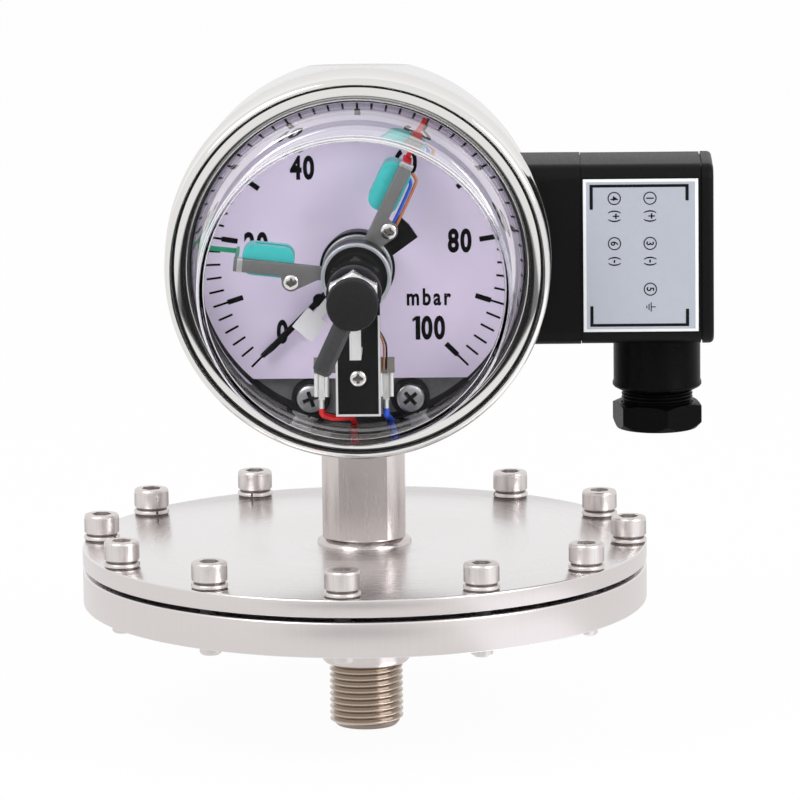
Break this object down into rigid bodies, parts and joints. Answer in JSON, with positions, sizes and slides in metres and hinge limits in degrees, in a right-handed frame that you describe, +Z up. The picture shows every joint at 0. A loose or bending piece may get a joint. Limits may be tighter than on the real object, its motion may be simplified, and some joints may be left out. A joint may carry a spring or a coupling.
{
  "type": "electric contact pressure gauge",
  "caption": "Low pressure diaphragm gauge: flanged lower body, round dial under a raised window with settable limit contacts, plug connector at the side.",
  "frame": {"origin": "on the process thread's axis, at the thread's upper end where it meets the boss", "axes": "+Z up along the stem, -Z is the way the thread points, the dial faces -Y, +X is to the right of a viewer who faces the dial"},
  "size_m": [0.1787, 0.184, 0.1922],
  "materials": {
    "steel": "fine turned stainless steel",
    "screw_steel": "stainless socket head screws",
    "polished_steel": "polished stainless steel",
    "clear_window": "clear moulded window",
    "gasket_rubber": "black rubber",
    "diaphragm_steel": "thin rolled steel",
    "dial_paint": "pale lavender dial paint",
    "plate_grey": "dark grey paint",
    "brass": "plain brass",
    "nickel": "nickel plated",
    "zinc": "zinc plated steel",
    "pointer_black": "matt black paint",
    "black_plastic": "moulded black plastic",
    "satin_black": "satin black paint",
    "arm_grey": "dark grey anodised sheet",
    "rim_grey": "satin aluminium",
    "sensor_teal": "teal moulded plastic",
    "vane_grey": "pale grey sheet",
    "red_paint": "red paint",
    "green_paint": "green paint",
    "red_wire": "red wire cover",
    "blue_wire": "blue wire cover",
    "connector_black": "moulded black plastic"
  },
  "bodies": {
    "housing": {"process_connection": "steel", "lower_flange": "steel", "upper_flange": "steel", "stem": "steel", "flange_gasket": "gasket_rubber", "diaphragm": "diaphragm_steel", "flange_screws": "screw_steel", "spring_washers": "screw_steel", "case": "steel", "bezel": "polished_steel", "window": "clear_window", "window_gasket": "gasket_rubber", "socket_block": "brass", "base_plate": "plate_grey", "plate_grommets": "gasket_rubber", "plate_screws": "zinc", "dial": "dial_paint", "movement_rear_plate": "brass", "movement_front_plate": "brass", "movement_pillars": "brass", "contact_bracket": "satin_black", "bracket_face_plate": "satin_black", "bracket_screw": "zinc", "terminal_strip": "black_plastic", "terminals": "nickel", "hub_spindle": "zinc", "lock_collar": "black_plastic", "lock_bush": "nickel", "lock_nut": "nickel", "connector_adapter": "connector_black", "connector_housing": "connector_black", "connector_cover": "connector_black", "gland_nut": "connector_black", "gland_seal": "gasket_rubber", "contact_insert": "black_plastic", "red_lead": "red_wire", "blue_lead": "blue_wire"},
    "pointer": {"pointer_arbor": "zinc", "pointer": "pointer_black", "driver_disc": "black_plastic", "vane": "vane_grey"},
    "sector": {"sector_gear": "brass"},
    "rod": {"push_rod": "steel"},
    "low_limit": {"low_hub": "black_plastic", "low_arm": "arm_grey", "low_rim": "rim_grey", "low_cap": "black_plastic", "low_sensor": "sensor_teal", "low_set_pointer": "green_paint", "low_arm_screw": "nickel"},
    "high_limit": {"high_hub": "black_plastic", "high_arm": "arm_grey", "high_rim": "rim_grey", "high_sensor": "sensor_teal", "high_set_pointer": "red_paint", "high_arm_screw": "nickel", "high_guard": "black_plastic", "sensor_leads": "blue_wire"},
    "adjuster": {"knob": "black_plastic", "driver_arm": "nickel"}
  },
  "joints": [
    {"name": "pointer_turn", "type": "hinge", "parent": "housing", "child": "pointer", "pos_m": [0, 0, 0.1204], "axis": [0, 1, 0], "range_deg": [-4, 274]},
    {"name": "sector_swing", "type": "hinge", "parent": "housing", "child": "sector", "pos_m": [-0.0032, 0, 0.09863], "axis": [0, 1, 0], "range_deg": [-27.5, 0.5]},
    {"name": "rod_lift", "type": "slide", "parent": "housing", "child": "rod", "axis": [0, 0, 1], "range_m": [0, 0.00149], "deforming": ["diaphragm"]},
    {"name": "low_limit_turn", "type": "hinge", "parent": "housing", "child": "low_limit", "pos_m": [0, -0.05, 0.1204], "axis": [0, 1, 0], "range_deg": [-51.5, 204]},
    {"name": "high_limit_turn", "type": "hinge", "parent": "housing", "child": "high_limit", "pos_m": [0, -0.042, 0.1204], "axis": [0, 1, 0], "range_deg": [-146.6, 109.4]},
    {"name": "adjuster_turn", "type": "hinge", "parent": "housing", "child": "adjuster", "pos_m": [0, -0.09, 0.1204], "axis": [0, 1, 0], "continuous": true}
  ],
  "couplings": [
    {"joint": "sector_swing", "follows": "rod_lift", "rad_per_m": -315.46},
    {"joint": "pointer_turn", "follows": "rod_lift", "rad_per_m": 3154.6}
  ]
}
